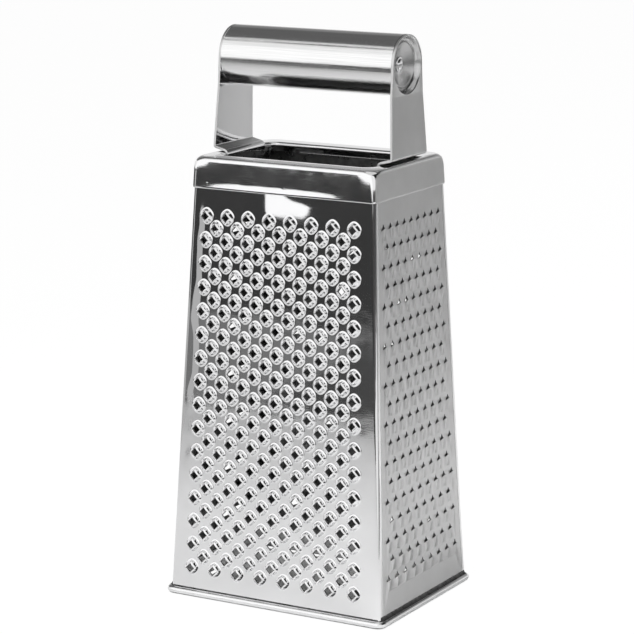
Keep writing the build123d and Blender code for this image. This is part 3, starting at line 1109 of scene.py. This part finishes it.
def tie_rod():
    """Rod whose ends are riveted over a flange into a dome."""
    seat = STRAP_FACE - DISH_FLOOR_DEPTH
    half = [(seat + out, r) for out, r in RIVET_PROFILE]
    skin = Skin()
    rings = [
        skin.row([(x, y, z) for y, z in round_grip(r, ROD_STEPS)])
        for x, r in [(-x, r) for x, r in reversed(half)] + half
    ]
    for lower, upper in zip(rings, rings[1:]):
        skin.strip(upper, lower, closed=True)
    skin.faces.append(tuple(rings[0]))
    skin.faces.append(tuple(reversed(rings[-1])))
    make_piece("tie_rod_riveted", skin, WIRE, "tie_rod", smooth=50)


grip_tube()
tie_rod()


# Stage, in metres: a plain pale floor, and grey cards that only the metal's reflections show
ROOM = 7.0
CEILING = 2.0
FLOOR = -0.0002
FLOOR_STEPS = 96
FLOOR_GREY = (0.88, 0.88, 0.88, 1)
FLOOR_GLOW = 1.03
FLOOR_GLOW_SHARE = 0.95
BACK_WALL = 3.5
FRONT_BOARD = -0.56
FRONT_BOX = -3.0
PATCH_HALF = (0.049, 0.037)
PATCH_HEIGHT = -0.0001


def floor_material():
    """Pale matt floor that the camera sees as nearly white, with the object's shadow."""
    material, tree, output = bare_material("pale_floor")
    matt = tree.nodes.new("ShaderNodeBsdfDiffuse")
    matt.inputs["Color"].default_value = FLOOR_GREY
    glow = tree.nodes.new("ShaderNodeEmission")
    glow.inputs["Strength"].default_value = FLOOR_GLOW
    path = tree.nodes.new("ShaderNodeLightPath")
    share = tree.nodes.new("ShaderNodeMath")
    share.operation = "MULTIPLY"
    share.inputs[1].default_value = FLOOR_GLOW_SHARE
    mix = tree.nodes.new("ShaderNodeMixShader")
    tree.links.new(path.outputs["Is Camera Ray"], share.inputs[0])
    tree.links.new(share.outputs[0], mix.inputs["Fac"])
    tree.links.new(matt.outputs[0], mix.inputs[1])
    tree.links.new(glow.outputs[0], mix.inputs[2])
    tree.links.new(mix.outputs[0], output.inputs["Surface"])
    return material


def matt_material():
    """Pale matt floor inside the foot, seen only through the grater's holes."""
    material, tree, output = bare_material("pale_floor_inside")
    matt = tree.nodes.new("ShaderNodeBsdfDiffuse")
    matt.inputs["Color"].default_value = FLOOR_GREY
    tree.links.new(matt.outputs[0], output.inputs["Surface"])
    return material


def card_material(name, grey):
    """Card that gives off an even grey."""
    material, tree, output = bare_material(name)
    shader = tree.nodes.new("ShaderNodeEmission")
    shader.inputs["Color"].default_value = (grey, grey, grey, 1)
    shader.inputs["Strength"].default_value = 1.0
    tree.links.new(shader.outputs[0], output.inputs["Surface"])
    return material


def stage_sheet(name, corners, material):
    """Flat sheet of the stage."""
    mesh = bpy.data.meshes.new(name)
    mesh.from_pydata(corners, [], [tuple(range(len(corners)))])
    mesh.materials.append(material)
    sheet = bpy.data.objects.new(name, mesh)
    scene.collection.objects.link(sheet)
    return sheet


def card(name, corners, grey):
    """Grey card that only the metal's reflections show."""
    sheet = stage_sheet(name, corners, card_material(name + "_grey", grey))
    sheet.visible_camera = False
    sheet.visible_shadow = False
    sheet.visible_diffuse = False


def ceiling_card(name, front, back, grey, left=-ROOM, right=ROOM):
    """Card overhead between two distances in front of and behind the object."""
    corners = ((left, front), (right, front), (right, back), (left, back))
    card(name, [(x, y, CEILING) for x, y in corners], grey)


def wall_card(name, place, left, right, low, high, grey):
    """Card that stands across the view, in front of the object or behind it."""
    corners = ((left, low), (right, low), (right, high), (left, high))
    card(name, [(x, place, z) for x, z in corners], grey)


def floor_card(name, corners, grey, height=0.003):
    """Card just over the floor."""
    card(name, [(x, y, height) for x, y in corners], grey)


turns = [2 * pi * i / FLOOR_STEPS for i in range(FLOOR_STEPS)]
stage_sheet("floor", [(ROOM * cos(turn), ROOM * sin(turn), FLOOR) for turn in turns], floor_material())

ceiling_card("ceiling", -0.56, 1.9, 0.13, right=-0.5)
ceiling_card("ceiling_middle", -0.56, 1.0, 0.75, left=-0.5, right=0.9)
ceiling_card("ceiling_far", 1.0, 1.9, 0.13, left=-0.5, right=0.9)
ceiling_card("ceiling_dark", -1.10, 1.9, 0.03, left=0.9)
ceiling_card("ceiling_back", 1.9, 3.5, 0.24, right=0.0)
ceiling_card("ceiling_back_right", 1.9, 3.5, 0.08, left=0.0)
ceiling_card("ceiling_bar", -1.00, -0.80, 0.13, right=0.9)

wall_card("back_sweep", BACK_WALL, -ROOM, ROOM, -0.02, 0.85, 0.85)
wall_card("back_middle", BACK_WALL, -ROOM, ROOM, 0.85, 1.50, 0.45)
wall_card("back_top", BACK_WALL, -ROOM, ROOM, 1.50, CEILING, 0.30)
wall_card("front_board", FRONT_BOARD, -1.6, 0.25, 0.150, 0.70, 1.2)
wall_card("front_box", FRONT_BOX, -3.6, 1.2, 0.5, 2.6, 1.5)

floor_card("dim_left", [(-0.37, -0.475), (-0.63, -0.87), (-0.38, -0.87), (-0.27, -0.475)], 0.20)
floor_card("dim_right", [(-0.27, -0.475), (-0.38, -0.87), (0.15, -0.87), (0.15, -0.475)], 0.07)
floor_card(
    "dark_band", [(-0.63, -0.87), (-1.05, -1.37), (-2.6, -3.4), (0.15, -3.4), (0.15, -0.87)], 0.045
)
floor_card("right_sheet", [(0.20, -0.15), (0.20, -0.75), (1.3, -0.75), (1.3, -0.15)], 1.0)
floor_card("right_dark", [(0.20, -0.12), (1.0, -0.12), (1.0, 0.16), (0.20, 0.16)], 0.40)
floor_card(
    "left_sheet",
    [(-0.36, -0.46), (-0.36, 0.9), (-1.0, 1.0), (-1.0, -0.75), (-3.0, -1.3), (-3.0, -2.3), (-1.3, -2.3)],
    0.50, 0.002,
)
floor_card("far_left", [(-1.0, -0.75), (-1.0, 1.0), (-3.0, 1.6), (-3.0, -1.3)], 0.07, 0.002)

# Floor inside the foot, matt and without glow, so that the holes look into a dim body
patch_x, patch_y = PATCH_HALF
patch = [(-patch_x, -patch_y), (patch_x, -patch_y), (patch_x, patch_y), (-patch_x, patch_y)]
under = stage_sheet("under_grater", [(x, y, PATCH_HEIGHT) for x, y in patch], matt_material())
under.visible_shadow = False

# World: plain white, where the camera and the metal see it
world = bpy.data.worlds.new("studio")
scene.world = world
world.use_nodes = True
sky = world.node_tree
backdrop = sky.nodes["Background"]
backdrop.inputs["Color"].default_value = (1, 1, 1, 1)
world_path = sky.nodes.new("ShaderNodeLightPath")
seen = sky.nodes.new("ShaderNodeMath")
seen.operation = "ADD"
seen.use_clamp = True
shown = sky.nodes.new("ShaderNodeMath")
shown.operation = "MAXIMUM"
level = sky.nodes.new("ShaderNodeMapRange")
level.inputs["To Min"].default_value = 0.06
level.inputs["To Max"].default_value = 1.0
sky.links.new(world_path.outputs["Is Camera Ray"], seen.inputs[0])
sky.links.new(world_path.outputs["Is Glossy Ray"], seen.inputs[1])
sky.links.new(seen.outputs[0], shown.inputs[0])
sky.links.new(world_path.outputs["Is Transmission Ray"], shown.inputs[1])
sky.links.new(shown.outputs[0], level.inputs["Value"])
sky.links.new(level.outputs["Result"], backdrop.inputs["Strength"])


def softbox(name, location, target, size, power):
    """Square area lamp that faces a point, out of sight of the camera and the metal."""
    data = bpy.data.lights.new(name, "AREA")
    data.shape = "RECTANGLE"
    data.size = size
    data.size_y = size
    data.energy = power
    lamp = bpy.data.objects.new(name, data)
    lamp.location = location
    aim = Vector(target) - Vector(location)
    lamp.rotation_mode = "QUATERNION"
    lamp.rotation_quaternion = aim.to_track_quat("-Z", "Y")
    lamp.visible_camera = False
    lamp.visible_glossy = False
    scene.collection.objects.link(lamp)


softbox("front_lamp", (-0.06, -0.12, 0.60), (-0.06, -0.12, 0), 0.2, 3.0)
softbox("back_lamp", (0.45, 1.1, 1.1), (0.35, 0.8, 0), 1.0, 8.0)
softbox("side_lamp", (0.30, 0.28, 0.40), (0.22, 0.20, 0), 0.15, 0.75)

# Camera at the photograph's viewing angle
CAMERA_PLACE = (0.5527, -0.9745, 0.3560)
CAMERA_AZIMUTH = radians(29.612)
CAMERA_DOWN = radians(11.939)
CAMERA_ROLL = radians(0.02)
CAMERA_LENS = 152.84
CAMERA_SENSOR = 36
camera_data = bpy.data.cameras.new("camera")
camera_data.lens = CAMERA_LENS
camera_data.sensor_width = CAMERA_SENSOR
camera_data.clip_start = 0.05
camera_data.clip_end = 50
camera = bpy.data.objects.new("camera", camera_data)
ahead = Vector((
    -sin(CAMERA_AZIMUTH) * cos(CAMERA_DOWN), cos(CAMERA_AZIMUTH) * cos(CAMERA_DOWN), -sin(CAMERA_DOWN)
))
right = Vector((cos(CAMERA_AZIMUTH), sin(CAMERA_AZIMUTH), 0))
up = right.cross(ahead)
turn = Matrix((right, up, -ahead)).transposed().to_4x4()
camera.matrix_world = Matrix.Translation(CAMERA_PLACE) @ turn @ Matrix.Rotation(CAMERA_ROLL, 4, "Z")
scene.collection.objects.link(camera)
scene.camera = camera
